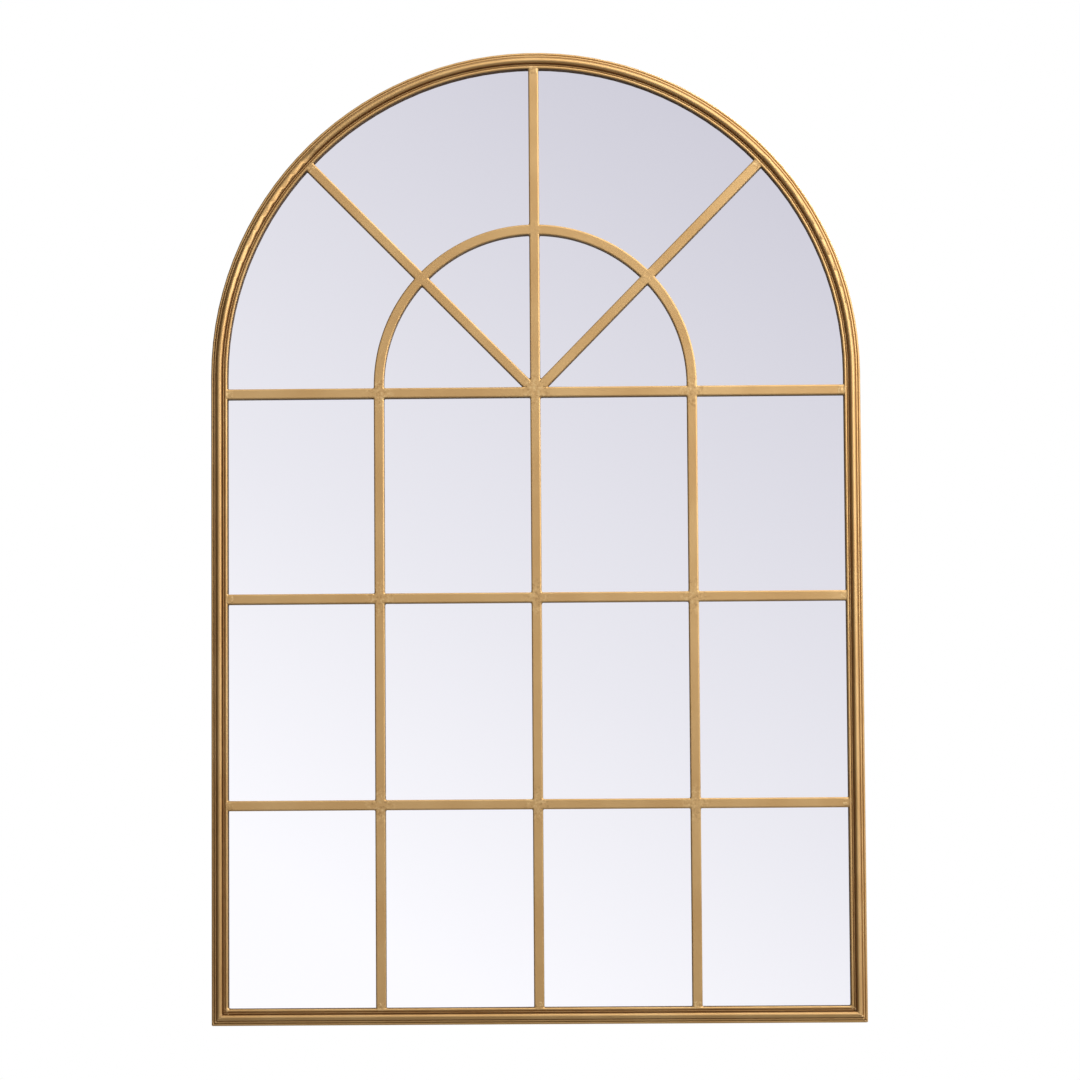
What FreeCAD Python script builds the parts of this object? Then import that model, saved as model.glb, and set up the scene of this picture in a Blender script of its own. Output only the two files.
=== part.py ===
import FreeCAD, Part
import Sketcher
import math
import os

# Arched window mirror: a welded steel frame with glazing bars in front of one mirror sheet
# X runs to the right, Y from the front to the wall, Z up; the origin is the middle of the footprint
os.makedirs("parts", exist_ok=True)
doc = FreeCAD.newDocument("window_mirror")

# Driving sizes in millimetres and degrees
SIZES = [
    ("frame_width", 815), ("frame_height", 1219),
    # Moulded face, from the outer edge inward
    ("frame_face", 21), ("moulding_depth", 11.5), ("corner_round", 2),
    ("edge_bead_radius", 1.7), ("edge_bead_setback", 8.4), ("step_bead_radius", 1.5), ("step_bead_setback", 6.3),
    ("round_radius", 3.9), ("groove_width", 0.6), ("groove_depth", 6.9),
    ("fine_bead_radius", 0.9), ("fine_bead_setback", 6.2), ("inner_bead_setback", 5.7),
    # Band on edge behind the moulding
    ("rim_inset", 0.8), ("rim_thickness", 3),
    # Soft tape, glass and backing board
    ("tape_thickness", 1), ("tape_width", 8), ("tape_inset", 1),
    ("glass_thickness", 4), ("glass_gap", 1.2), ("board_thickness", 5), ("board_gap", 1.7),
    # Glazing bars
    ("bar_width", 12.7), ("bar_thickness", 8), ("bar_round", 1.6), ("bar_glass_gap", 0.5),
    ("spring_bar_drop", 23), ("fan_rise", 9), ("fan_angle", 45.5),
    ("column_count", 4), ("row_count", 3),
    # Tabs that hold the board, and their screws
    ("tab_width", 16), ("tab_reach", 20), ("tab_thickness", 1.5), ("tab_upstand", 5), ("tab_hole_inset", 12),
    ("tab_low_share", 0.24), ("tab_high_share", 0.74), ("tab_sill_share", 0.5), ("tab_arch_angle", 52),
    ("screw_radius", 1.6), ("screw_head_radius", 3.4), ("screw_head_height", 2), ("screw_head_bevel", 1.1),
    ("screw_tip_gap", 0.6), ("pilot_clearance", 0.1), ("tab_hole_clearance", 0.4),
    # Keyhole plates in the back of the legs
    ("hanger_head_gap", 4.5), ("hanger_drop", 46.5), ("keyhole_inset", 23.7), ("hanger_plate_length", 60),
    ("hanger_plate_width", 38), ("hanger_plate_thickness", 2), ("hanger_plate_round", 4),
    ("keyhole_entry_radius", 5), ("keyhole_slot_width", 5.2), ("keyhole_slot_length", 12),
    # How far a cut runs past the metal that it cuts
    ("cut_overrun", 2),
]

# Places worked out from the driving sizes
PLACES = [
    ("half_width", "Sizes.frame_width / 2"),
    ("frame_depth", "Sizes.moulding_depth + Sizes.tape_thickness + Sizes.glass_thickness"
     " + Sizes.board_thickness + Sizes.hanger_head_gap + Sizes.hanger_plate_thickness"),
    ("half_depth", "frame_depth / 2"),
    ("opening_half", "half_width - Sizes.frame_face"),
    ("arch_centre_height", "Sizes.frame_height - half_width"),
    ("sill_top", "Sizes.frame_face * 1"),
    ("symmetric_cut", "frame_depth * 2"),
    # Moulding section on the right leg, measured from the middle of the mirror
    ("edge_bead_mid", "half_width - Sizes.edge_bead_radius"),
    ("edge_bead_end", "half_width - 2 * Sizes.edge_bead_radius"),
    ("step_bead_mid", "edge_bead_end - Sizes.step_bead_radius"),
    ("step_bead_end", "edge_bead_end - 2 * Sizes.step_bead_radius"),
    ("round_mid", "step_bead_end - Sizes.round_radius"),
    ("round_end", "step_bead_end - 2 * Sizes.round_radius"),
    ("groove_end", "round_end - Sizes.groove_width"),
    ("fine_bead_mid", "groove_end - Sizes.fine_bead_radius"),
    ("fine_bead_end", "groove_end - 2 * Sizes.fine_bead_radius"),
    ("inner_bead_mid", "(fine_bead_end + opening_half) / 2"),
    ("moulding_back", "Sizes.moulding_depth - half_depth"),
    ("edge_bead_base", "Sizes.edge_bead_setback - half_depth"),
    ("step_bead_base", "Sizes.step_bead_setback - half_depth"),
    ("round_base", "Sizes.round_radius - half_depth"),
    ("groove_floor", "Sizes.groove_depth - half_depth"),
    ("fine_bead_base", "Sizes.fine_bead_setback - half_depth"),
    ("inner_bead_base", "Sizes.inner_bead_setback - half_depth"),
    # The same section on the bottom rail, measured up from its underside
    ("sill_edge_bead_mid", "half_width - edge_bead_mid"),
    ("sill_edge_bead_end", "half_width - edge_bead_end"),
    ("sill_step_bead_mid", "half_width - step_bead_mid"),
    ("sill_step_bead_end", "half_width - step_bead_end"),
    ("sill_round_mid", "half_width - round_mid"),
    ("sill_round_end", "half_width - round_end"),
    ("sill_groove_end", "half_width - groove_end"),
    ("sill_fine_bead_mid", "half_width - fine_bead_mid"),
    ("sill_fine_bead_end", "half_width - fine_bead_end"),
    ("sill_inner_bead_mid", "half_width - inner_bead_mid"),
    # Mitre cuts and rounding at the lower corners
    ("mitre_out", "half_width + Sizes.cut_overrun"),
    ("mitre_in", "opening_half - Sizes.cut_overrun"),
    ("mitre_low", "0 - Sizes.cut_overrun"),
    ("mitre_high", "Sizes.frame_face + Sizes.cut_overrun"),
    ("corner_side", "half_width - Sizes.corner_round"),
    # Band behind the moulding
    ("rim_outer", "half_width - Sizes.rim_inset"),
    ("rim_inner", "rim_outer - Sizes.rim_thickness"),
    ("rim_low", "Sizes.rim_inset * 1"),
    ("rim_level", "Sizes.rim_inset + Sizes.rim_thickness"),
    ("rim_lift", "0 - half_depth"),
    ("rim_depth", "frame_depth - Sizes.moulding_depth"),
    # Tape, glass and board; a lift is the height of a back face above the middle plane, towards the front
    ("tape_inner", "opening_half + Sizes.tape_inset"),
    ("tape_outer", "tape_inner + Sizes.tape_width"),
    ("tape_inner_low", "Sizes.frame_face - Sizes.tape_inset"),
    ("tape_outer_low", "tape_inner_low - Sizes.tape_width"),
    ("tape_lift", "half_depth - Sizes.moulding_depth - Sizes.tape_thickness"),
    ("glass_half", "rim_inner - Sizes.glass_gap"),
    ("glass_low", "rim_level + Sizes.glass_gap"),
    ("glass_lift", "tape_lift - Sizes.glass_thickness"),
    ("board_half", "rim_inner - Sizes.board_gap"),
    ("board_low", "rim_level + Sizes.board_gap"),
    ("board_lift", "glass_lift - Sizes.board_thickness"),
    ("board_back", "0 - board_lift"),
    # Grid of glazing bars with equal panes
    ("half_bar", "Sizes.bar_width / 2"),
    ("bar_lift", "tape_lift + Sizes.bar_glass_gap"),
    ("bar_front", "0 - bar_lift - Sizes.bar_thickness"),
    ("column_pitch", "(2 * opening_half + Sizes.bar_width) / Sizes.column_count"),
    ("upright_in", "column_pitch - half_bar"),
    ("upright_out", "column_pitch + half_bar"),
    ("hub_height", "arch_centre_height - Sizes.spring_bar_drop"),
    ("spring_top", "hub_height + half_bar"),
    ("spring_under", "hub_height - half_bar"),
    ("row_pitch", "(spring_top - sill_top) / Sizes.row_count"),
    ("lower_top", "sill_top + row_pitch"),
    ("lower_under", "lower_top - Sizes.bar_width"),
    ("upper_top", "lower_top + row_pitch"),
    ("upper_under", "upper_top - Sizes.bar_width"),
    ("crown", "arch_centre_height + sqrt(opening_half ^ 2 - half_bar ^ 2)"),
    # Slanted bars: where their edges leave the hub and reach the arch
    ("slant_rise", "sin(Sizes.fan_angle)"),
    ("slant_run", "cos(Sizes.fan_angle)"),
    ("slant_root_side", "half_bar * (1 + slant_run) / slant_rise"),
    ("slant_root_height", "hub_height + half_bar * (1 + slant_rise) / slant_run"),
    ("slant_low_reach", "Sizes.spring_bar_drop * slant_rise"
     " + sqrt(opening_half ^ 2 - (half_bar + Sizes.spring_bar_drop * slant_run) ^ 2)"),
    ("slant_high_reach", "Sizes.spring_bar_drop * slant_rise"
     " + sqrt(opening_half ^ 2 - (half_bar - Sizes.spring_bar_drop * slant_run) ^ 2)"),
    ("slant_low_side", "half_bar * slant_rise + slant_low_reach * slant_run"),
    ("slant_low_height", "hub_height - half_bar * slant_run + slant_low_reach * slant_rise"),
    ("slant_high_side", "slant_high_reach * slant_run - half_bar * slant_rise"),
    ("slant_high_height", "hub_height + half_bar * slant_run + slant_high_reach * slant_rise"),
    # Inner half-round: its edges, and where they meet the slanted bars and the centre bar
    ("fan_centre", "hub_height + Sizes.fan_rise"),
    ("fan_low_in_reach", "Sizes.fan_rise * slant_rise"
     " + sqrt(upright_in ^ 2 - (half_bar + Sizes.fan_rise * slant_run) ^ 2)"),
    ("fan_low_out_reach", "Sizes.fan_rise * slant_rise"
     " + sqrt(upright_out ^ 2 - (half_bar + Sizes.fan_rise * slant_run) ^ 2)"),
    ("fan_high_in_reach", "Sizes.fan_rise * slant_rise"
     " + sqrt(upright_in ^ 2 - (half_bar - Sizes.fan_rise * slant_run) ^ 2)"),
    ("fan_high_out_reach", "Sizes.fan_rise * slant_rise"
     " + sqrt(upright_out ^ 2 - (half_bar - Sizes.fan_rise * slant_run) ^ 2)"),
    ("fan_low_in_side", "half_bar * slant_rise + fan_low_in_reach * slant_run"),
    ("fan_low_in_height", "hub_height - half_bar * slant_run + fan_low_in_reach * slant_rise"),
    ("fan_low_out_side", "half_bar * slant_rise + fan_low_out_reach * slant_run"),
    ("fan_low_out_height", "hub_height - half_bar * slant_run + fan_low_out_reach * slant_rise"),
    ("fan_high_in_side", "fan_high_in_reach * slant_run - half_bar * slant_rise"),
    ("fan_high_in_height", "hub_height + half_bar * slant_run + fan_high_in_reach * slant_rise"),
    ("fan_high_out_side", "fan_high_out_reach * slant_run - half_bar * slant_rise"),
    ("fan_high_out_height", "hub_height + half_bar * slant_run + fan_high_out_reach * slant_rise"),
    ("fan_top_in", "fan_centre + sqrt(upright_in ^ 2 - half_bar ^ 2)"),
    ("fan_top_out", "fan_centre + sqrt(upright_out ^ 2 - half_bar ^ 2)"),
    # Tabs, drawn with the face of the band at zero, and their seats
    ("tab_back", "board_back + Sizes.tab_thickness"),
    ("tab_upstand_back", "board_back + Sizes.tab_upstand"),
    ("tab_hole_radius", "Sizes.screw_radius + Sizes.tab_hole_clearance"),
    ("tab_low_height", "arch_centre_height * Sizes.tab_low_share"),
    ("tab_high_height", "arch_centre_height * Sizes.tab_high_share"),
    ("tab_sill_side", "half_width * Sizes.tab_sill_share"),
    ("tab_arch_radius", "sqrt(rim_inner ^ 2 - (Sizes.tab_width / 2) ^ 2)"),
    ("tab_arch_side", "tab_arch_radius * cos(Sizes.tab_arch_angle)"),
    ("tab_arch_height", "arch_centre_height + tab_arch_radius * sin(Sizes.tab_arch_angle)"),
    # Screw places
    ("leg_screw_side", "rim_inner - Sizes.tab_hole_inset"),
    ("sill_screw_height", "rim_level + Sizes.tab_hole_inset"),
    ("arch_screw_side", "(tab_arch_radius - Sizes.tab_hole_inset) * cos(Sizes.tab_arch_angle)"),
    ("arch_screw_height", "arch_centre_height"
     " + (tab_arch_radius - Sizes.tab_hole_inset) * sin(Sizes.tab_arch_angle)"),
    ("pilot_radius", "Sizes.screw_radius + Sizes.pilot_clearance"),
    ("screw_shank_length", "Sizes.tab_thickness + Sizes.board_thickness - Sizes.screw_tip_gap"),
    ("screw_seat_lift", "0 - tab_back"),
    ("screw_head_lift", "screw_seat_lift - Sizes.screw_head_height"),
    # Keyhole plates
    ("keyhole_side", "rim_inner - Sizes.keyhole_inset"),
    ("keyhole_slot_in", "keyhole_side - Sizes.keyhole_slot_width / 2"),
    ("keyhole_slot_out", "keyhole_side + Sizes.keyhole_slot_width / 2"),
    ("keyhole_height", "arch_centre_height - Sizes.hanger_drop"),
    ("keyhole_neck", "keyhole_height"
     " + sqrt(Sizes.keyhole_entry_radius ^ 2 - (Sizes.keyhole_slot_width / 2) ^ 2)"),
    ("keyhole_top", "keyhole_height + Sizes.keyhole_slot_length"),
    ("plate_inner", "rim_inner - Sizes.hanger_plate_width"),
    ("plate_low", "keyhole_height - Sizes.hanger_plate_length / 2"),
    ("plate_high", "keyhole_height + Sizes.hanger_plate_length / 2"),
]

sizes = doc.addObject("Spreadsheet::Sheet", "Sizes")
for number, (alias, value) in enumerate(SIZES, start=1):
    sizes.set(f"A{number}", alias)
    sizes.set(f"B{number}", str(value))
    sizes.setAlias(f"B{number}", alias)
places = doc.addObject("Spreadsheet::Sheet", "Places")
for number, (alias, formula) in enumerate(PLACES, start=1):
    places.set(f"A{number}", alias)
    places.set(f"B{number}", "=" + formula)
    places.setAlias(f"B{number}", alias)
doc.recompute()


SIZE_NAMES = {alias for alias, value in SIZES}
# Two points closer than this share of the frame's width count as one
NEAR_SHARE = 1e-7


# A name may carry a minus sign; the word zero stands for the axis
def bound(name):
    if name.startswith("-"):
        return "-" + bound(name[1:])
    return ("Sizes." if name in SIZE_NAMES else "Places.") + name


def reach(name):
    if name == "zero":
        return 0.0
    if name.startswith("-"):
        return -reach(name[1:])
    return float((sizes if name in SIZE_NAMES else places).get(name))


def near(first, second):
    return abs(first - second) < NEAR_SHARE * reach("frame_width")


def flipped(name):
    if name == "zero":
        return name
    return name[1:] if name.startswith("-") else "-" + name


# A corner is two names; a third entry makes the run to the next corner an arc: centre and turn
def mirrored(corners):
    turned = {"left": "right", "right": "left"}
    result = []
    for side, height, arc in corners:
        if arc:
            arc = (flipped(arc[0]), arc[1], turned[arc[2]])
        result.append((flipped(side), height, arc))
    return result


def origin_plane(body, role):
    return next(item for item in body.Origin.OriginFeatures if item.Role == role)


def new_body(label):
    body = doc.addObject("PartDesign::Body", label)
    body.Label = label
    body.Placement = FreeCAD.Placement()
    return body


def hold(sketch, element, point, side, height, only=None):
    for name, kind, axis in ((side, "DistanceX", -2), (height, "DistanceY", -1)):
        if only and only != kind:
            continue
        if name == "zero":
            sketch.addConstraint(Sketcher.Constraint("PointOnObject", element, point, axis))
        else:
            row = sketch.addConstraint(Sketcher.Constraint(kind, -1, 1, element, point, reach(name)))
            sketch.setExpression(f"Constraints[{row}]", bound(name))


def draw_loop(sketch, corners):
    ends = []
    for number, (side, height, arc) in enumerate(corners):
        next_side, next_height = corners[(number + 1) % len(corners)][:2]
        here = FreeCAD.Vector(reach(side), reach(height), 0)
        there = FreeCAD.Vector(reach(next_side), reach(next_height), 0)
        if not arc:
            element = sketch.addGeometry(Part.LineSegment(here, there), False)
            ends.append((element, 1, 2, None))
            continue
        centre = FreeCAD.Vector(reach(arc[0]), reach(arc[1]), 0)
        first, last = (here, there) if arc[2] == "left" else (there, here)
        circle = Part.Circle(centre, FreeCAD.Vector(0, 0, 1), (here - centre).Length)
        start = math.atan2(first.y - centre.y, first.x - centre.x)
        stop = math.atan2(last.y - centre.y, last.x - centre.x)
        element = sketch.addGeometry(Part.ArcOfCircle(circle, start, stop), False)
        hold(sketch, element, 3, arc[0], arc[1])
        away = there - centre
        free = "DistanceY" if abs(away.x) > abs(away.y) else "DistanceX"
        ends.append((element, 1, 2, free) if arc[2] == "left" else (element, 2, 1, free))
    for number, (element, begin, _, _) in enumerate(ends):
        before = ends[number - 1]
        sketch.addConstraint(Sketcher.Constraint("Coincident", before[0], before[2], element, begin))
        side, height, _ = corners[number]
        hold(sketch, element, begin, side, height, before[3])


def draw_circle(sketch, side, height, radius):
    centre = FreeCAD.Vector(reach(side), reach(height), 0)
    element = sketch.addGeometry(Part.Circle(centre, FreeCAD.Vector(0, 0, 1), reach(radius)), False)
    hold(sketch, element, 3, side, height)
    row = sketch.addConstraint(Sketcher.Constraint("Radius", element, reach(radius)))
    sketch.setExpression(f"Constraints[{row}]", bound(radius))


def new_sketch(body, name, role, lift=None):
    sketch = body.newObject("Sketcher::SketchObject", name)
    sketch.AttachmentSupport = (origin_plane(body, role), "")
    sketch.MapMode = "FlatFace"
    if lift:
        sketch.setExpression(".AttachmentOffset.Base.z", bound(lift))
    return sketch


def outline(body, name, role, loops, lift=None):
    sketch = new_sketch(body, name, role, lift)
    for corners in loops:
        draw_loop(sketch, corners)
    return sketch


def pad(body, name, sketch, length, side_type="One side", reverse=False):
    feature = body.newObject("PartDesign::Pad", name)
    feature.Profile = sketch
    feature.SideType = side_type
    feature.Reversed = reverse
    feature.setExpression("Length", bound(length))
    body.Tip = feature
    return feature


def cut_through(body, name, sketch):
    feature = body.newObject("PartDesign::Pocket", name)
    feature.Profile = sketch
    feature.SideType = "Symmetric"
    feature.setExpression("Length", bound("symmetric_cut"))
    body.Tip = feature
    return feature


# Rounds the chosen edges by a radius, or bevels them by a size
def finish_edges(body, name, feature, chosen, amount, kind="Fillet", measure="Radius"):
    doc.recompute()
    edges = [f"Edge{i}" for i, edge in enumerate(feature.Shape.Edges, start=1) if chosen(edge)]
    finish = body.newObject("PartDesign::" + kind, name)
    finish.Base = (feature, edges)
    finish.setExpression(measure, bound(amount))
    body.Tip = finish
    return finish


# Moulding: section on the right leg
section = [
    ("half_width", "moulding_back", None),
    ("half_width", "edge_bead_base", ("edge_bead_mid", "edge_bead_base", "right")),
    ("edge_bead_end", "edge_bead_base", None),
    ("edge_bead_end", "step_bead_base", ("step_bead_mid", "step_bead_base", "right")),
    ("step_bead_end", "step_bead_base", None),
    ("step_bead_end", "round_base", ("round_mid", "round_base", "right")),
    ("round_end", "round_base", None),
    ("round_end", "groove_floor", None),
    ("groove_end", "groove_floor", None),
    ("groove_end", "fine_bead_base", ("fine_bead_mid", "fine_bead_base", "right")),
    ("fine_bead_end", "fine_bead_base", None),
    ("fine_bead_end", "inner_bead_base", ("inner_bead_mid", "inner_bead_base", "right")),
    ("opening_half", "inner_bead_base", None),
    ("opening_half", "moulding_back", None),
]

# Hoop: half turn over the top, legs down from it, mitred feet
hoop = new_body("frame_hoop")
hoop_section = outline(hoop, "hoop_section", "XY_Plane", [section], "arch_centre_height")
arch = hoop.newObject("PartDesign::Revolution", "hoop_arch")
arch.Profile = hoop_section
arch.ReferenceAxis = (hoop_section, ["V_Axis"])
arch.Angle = 180
arch.Reversed = True
hoop.Tip = arch
leg = pad(hoop, "hoop_leg", hoop_section, "arch_centre_height", reverse=True)
doc.recompute()
other_leg = hoop.newObject("PartDesign::Mirrored", "hoop_other_leg")
other_leg.Originals = [leg]
other_leg.MirrorPlane = (origin_plane(hoop, "YZ_Plane"), [""])
hoop.Tip = other_leg
foot_cut = [("mitre_out", "mitre_low", None), ("mitre_in", "mitre_high", None), ("mitre_in", "mitre_low", None)]
cut_through(hoop, "hoop_mitre", outline(hoop, "hoop_mitre_outline", "XZ_Plane", [foot_cut, mirrored(foot_cut)]))
# The outer corners are ground round after welding, across both pieces
corner_cut = [("half_width", "corner_round", ("corner_side", "corner_round", "right")),
              ("corner_side", "zero", None), ("corner_side", "mitre_low", None),
              ("mitre_out", "mitre_low", None), ("mitre_out", "corner_round", None)]
cut_through(hoop, "hoop_corners", outline(hoop, "hoop_corner_outline", "XZ_Plane",
                                          [corner_cut, mirrored(corner_cut)]))

# Bottom rail: the same section laid along X, mitred to the hoop
sill_section = [
    ("moulding_back", "zero", None),
    ("edge_bead_base", "zero", ("edge_bead_base", "sill_edge_bead_mid", "right")),
    ("edge_bead_base", "sill_edge_bead_end", None),
    ("step_bead_base", "sill_edge_bead_end", ("step_bead_base", "sill_step_bead_mid", "right")),
    ("step_bead_base", "sill_step_bead_end", None),
    ("round_base", "sill_step_bead_end", ("round_base", "sill_round_mid", "right")),
    ("round_base", "sill_round_end", None),
    ("groove_floor", "sill_round_end", None),
    ("groove_floor", "sill_groove_end", None),
    ("fine_bead_base", "sill_groove_end", ("fine_bead_base", "sill_fine_bead_mid", "right")),
    ("fine_bead_base", "sill_fine_bead_end", None),
    ("inner_bead_base", "sill_fine_bead_end", ("inner_bead_base", "sill_inner_bead_mid", "right")),
    ("inner_bead_base", "sill_top", None),
    ("moulding_back", "sill_top", None),
]
sill = new_body("frame_sill")
pad(sill, "sill_run", outline(sill, "sill_section", "YZ_Plane", [sill_section]), "frame_width", "Symmetric")
end_cut = [("mitre_out", "mitre_low", None), ("mitre_out", "mitre_high", None), ("mitre_in", "mitre_high", None)]
cut_through(sill, "sill_mitre", outline(sill, "sill_mitre_outline", "XZ_Plane", [end_cut, mirrored(end_cut)]))
cut_through(sill, "sill_corners", outline(sill, "sill_corner_outline", "XZ_Plane",
                                          [corner_cut, mirrored(corner_cut)]))


# Flat pieces cut to an outline and given a thickness towards the front
def sheet_piece(label, loops, lift, thickness):
    body = new_body(label)
    shape = outline(body, label + "_outline", "XZ_Plane", loops, lift)
    return body, pad(body, label + "_pad", shape, thickness)


def arched(half, low):
    centre = ("zero", "arch_centre_height", "left")
    return [(half, low, None), (half, "arch_centre_height", centre),
            ("-" + half, "arch_centre_height", None), ("-" + half, low, None)]


# Band on edge: hoop and sill, mitred
rim_outline = [
    ("rim_outer", "rim_low", None),
    ("rim_outer", "arch_centre_height", ("zero", "arch_centre_height", "left")),
    ("-rim_outer", "arch_centre_height", None),
    ("-rim_outer", "rim_low", None),
    ("-rim_inner", "rim_level", None),
    ("-rim_inner", "arch_centre_height", ("zero", "arch_centre_height", "right")),
    ("rim_inner", "arch_centre_height", None),
    ("rim_inner", "rim_level", None),
]
sheet_piece("rim_hoop", [rim_outline], "rim_lift", "rim_depth")
rim_sill_outline = [("-rim_outer", "rim_low", None), ("rim_outer", "rim_low", None),
                    ("rim_inner", "rim_level", None), ("-rim_inner", "rim_level", None)]
sheet_piece("rim_sill", [rim_sill_outline], "rim_lift", "rim_depth")

# Tape, glass and board
sheet_piece("glazing_tape", [arched("tape_outer", "tape_outer_low"), arched("tape_inner", "tape_inner_low")],
            "tape_lift", "tape_thickness")
sheet_piece("mirror_glass", [arched("glass_half", "glass_low")], "glass_lift", "glass_thickness")
board, board_pad = sheet_piece("back_board", [arched("board_half", "board_low")], "board_lift",
                               "board_thickness")
SCREW_PLACES = [
    ("-leg_screw_side", "tab_low_height"), ("-leg_screw_side", "tab_high_height"),
    ("leg_screw_side", "tab_low_height"), ("leg_screw_side", "tab_high_height"),
    ("-tab_sill_side", "sill_screw_height"), ("tab_sill_side", "sill_screw_height"),
    ("-arch_screw_side", "arch_screw_height"), ("arch_screw_side", "arch_screw_height"),
]
pilots = new_sketch(board, "pilot_holes_outline", "XZ_Plane", "board_lift")
for side, height in SCREW_PLACES:
    draw_circle(pilots, side, height, "pilot_radius")
cut_through(board, "pilot_holes", pilots)


# Glazing bars: an outline, a thickness, and rounded long edges at the front
def glazing_bar(label, corners):
    body, run = sheet_piece(label, [corners], "bar_lift", "bar_thickness")
    front = reach("bar_front")
    long_enough = 2 * reach("bar_width")

    def chosen(edge):
        return edge.Length > long_enough and all(near(v.Point.y, front) for v in edge.Vertexes)

    finish_edges(body, label + "_round", run, chosen, "bar_round")


def upright(low, high, inner, outer):
    return [(inner, low, None), (outer, low, None), (outer, high, None), (inner, high, None)]


left_upright = upright("sill_top", "spring_top", "-upright_out", "-upright_in")
glazing_bar("bar_vertical_left", left_upright)
glazing_bar("bar_vertical_right", upright("sill_top", "spring_top", "upright_in", "upright_out"))
glazing_bar("bar_vertical_centre", [
    ("-half_bar", "sill_top", None), ("half_bar", "sill_top", None),
    ("half_bar", "crown", ("zero", "arch_centre_height", "left")), ("-half_bar", "crown", None)])

COLUMNS = [("-opening_half", "-upright_out"), ("-upright_in", "-half_bar"),
           ("half_bar", "upright_in"), ("upright_out", "opening_half")]
ROWS = [("bar_lower", "lower_under", "lower_top"), ("bar_upper", "upper_under", "upper_top"),
        ("bar_spring", "spring_under", "spring_top")]
for row_name, under, top in ROWS:
    for number, (start, stop) in enumerate(COLUMNS, start=1):
        glazing_bar(f"{row_name}_{number}", upright(under, top, start, stop))

slant = [
    ("half_bar", "spring_top", None),
    ("slant_root_side", "spring_top", None),
    ("slant_low_side", "slant_low_height", ("zero", "arch_centre_height", "left")),
    ("slant_high_side", "slant_high_height", None),
    ("half_bar", "slant_root_height", None),
]
glazing_bar("bar_diagonal_right", slant)
glazing_bar("bar_diagonal_left", mirrored(slant))

fan_outer = [
    ("upright_in", "spring_top", None),
    ("upright_in", "fan_centre", ("zero", "fan_centre", "left")),
    ("fan_low_in_side", "fan_low_in_height", None),
    ("fan_low_out_side", "fan_low_out_height", ("zero", "fan_centre", "right")),
    ("upright_out", "fan_centre", None),
    ("upright_out", "spring_top", None),
]
fan_inner = [
    ("fan_high_in_side", "fan_high_in_height", ("zero", "fan_centre", "left")),
    ("half_bar", "fan_top_in", None),
    ("half_bar", "fan_top_out", ("zero", "fan_centre", "right")),
    ("fan_high_out_side", "fan_high_out_height", None),
]
glazing_bar("bar_fan_1", mirrored(fan_outer))
glazing_bar("bar_fan_2", mirrored(fan_inner))
glazing_bar("bar_fan_3", fan_inner)
glazing_bar("bar_fan_4", fan_outer)


# Tabs: bent strip, one leg on the board, the other up the band; turned about Y to their seats
def holding_tab(label, side, height, turn=0, turn_formula=None):
    body = new_body(label)
    section_corners = [
        ("zero", "board_back"), ("tab_reach", "board_back"), ("tab_reach", "tab_back"),
        ("tab_thickness", "tab_back"), ("tab_thickness", "tab_upstand_back"), ("zero", "tab_upstand_back")]
    corners = [(across, back, None) for across, back in section_corners]
    pad(body, label + "_pad", outline(body, label + "_section", "XY_Plane", [corners]), "tab_width", "Symmetric")
    hole = new_sketch(body, label + "_hole_outline", "XZ_Plane")
    draw_circle(hole, "tab_hole_inset", "zero", "tab_hole_radius")
    cut_through(body, label + "_hole", hole)
    body.Placement = FreeCAD.Placement(FreeCAD.Vector(), FreeCAD.Rotation(FreeCAD.Vector(0, 1, 0), turn))
    if turn_formula:
        body.setExpression(".Placement.Rotation.Angle", turn_formula)
    body.setExpression(".Placement.Base.x", bound(side))
    body.setExpression(".Placement.Base.z", bound(height))


holding_tab("tab_left_lower", "-rim_inner", "tab_low_height")
holding_tab("tab_left_upper", "-rim_inner", "tab_high_height")
holding_tab("tab_right_lower", "rim_inner", "tab_low_height", 180)
holding_tab("tab_right_upper", "rim_inner", "tab_high_height", 180)
holding_tab("tab_bottom_left", "-tab_sill_side", "rim_level", -90)
holding_tab("tab_bottom_right", "tab_sill_side", "rim_level", -90)
holding_tab("tab_arch_left", "-tab_arch_side", "tab_arch_height", reach("tab_arch_angle"), "Sizes.tab_arch_angle")
holding_tab("tab_arch_right", "tab_arch_side", "tab_arch_height", 180 - reach("tab_arch_angle"),
            "180 - Sizes.tab_arch_angle")

# Screws: shanks through the tabs into the board, bevelled heads on the tabs
screws = new_body("tab_screws")
shanks = new_sketch(screws, "screw_shanks_outline", "XZ_Plane", "screw_seat_lift")
heads = new_sketch(screws, "screw_heads_outline", "XZ_Plane", "screw_head_lift")
for side, height in SCREW_PLACES:
    draw_circle(shanks, side, height, "screw_radius")
    draw_circle(heads, side, height, "screw_head_radius")
pad(screws, "screw_shanks", shanks, "screw_shank_length")
screw_heads = pad(screws, "screw_heads", heads, "screw_head_height")
head_back = -reach("screw_head_lift")
finish_edges(screws, "screw_bevels", screw_heads,
             lambda edge: all(near(v.Point.y, head_back) for v in edge.Vertexes), "screw_head_bevel",
             "Chamfer", "Size")

# Keyhole plates
plate_edge = [("rim_inner", "plate_low", None), ("rim_inner", "plate_high", None),
              ("plate_inner", "plate_high", None), ("plate_inner", "plate_low", None)]
keyhole = [
    ("keyhole_slot_out", "keyhole_neck", None),
    ("keyhole_slot_out", "keyhole_top", ("keyhole_side", "keyhole_top", "left")),
    ("keyhole_slot_in", "keyhole_top", None),
    ("keyhole_slot_in", "keyhole_neck", ("keyhole_side", "keyhole_height", "left")),
]


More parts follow.
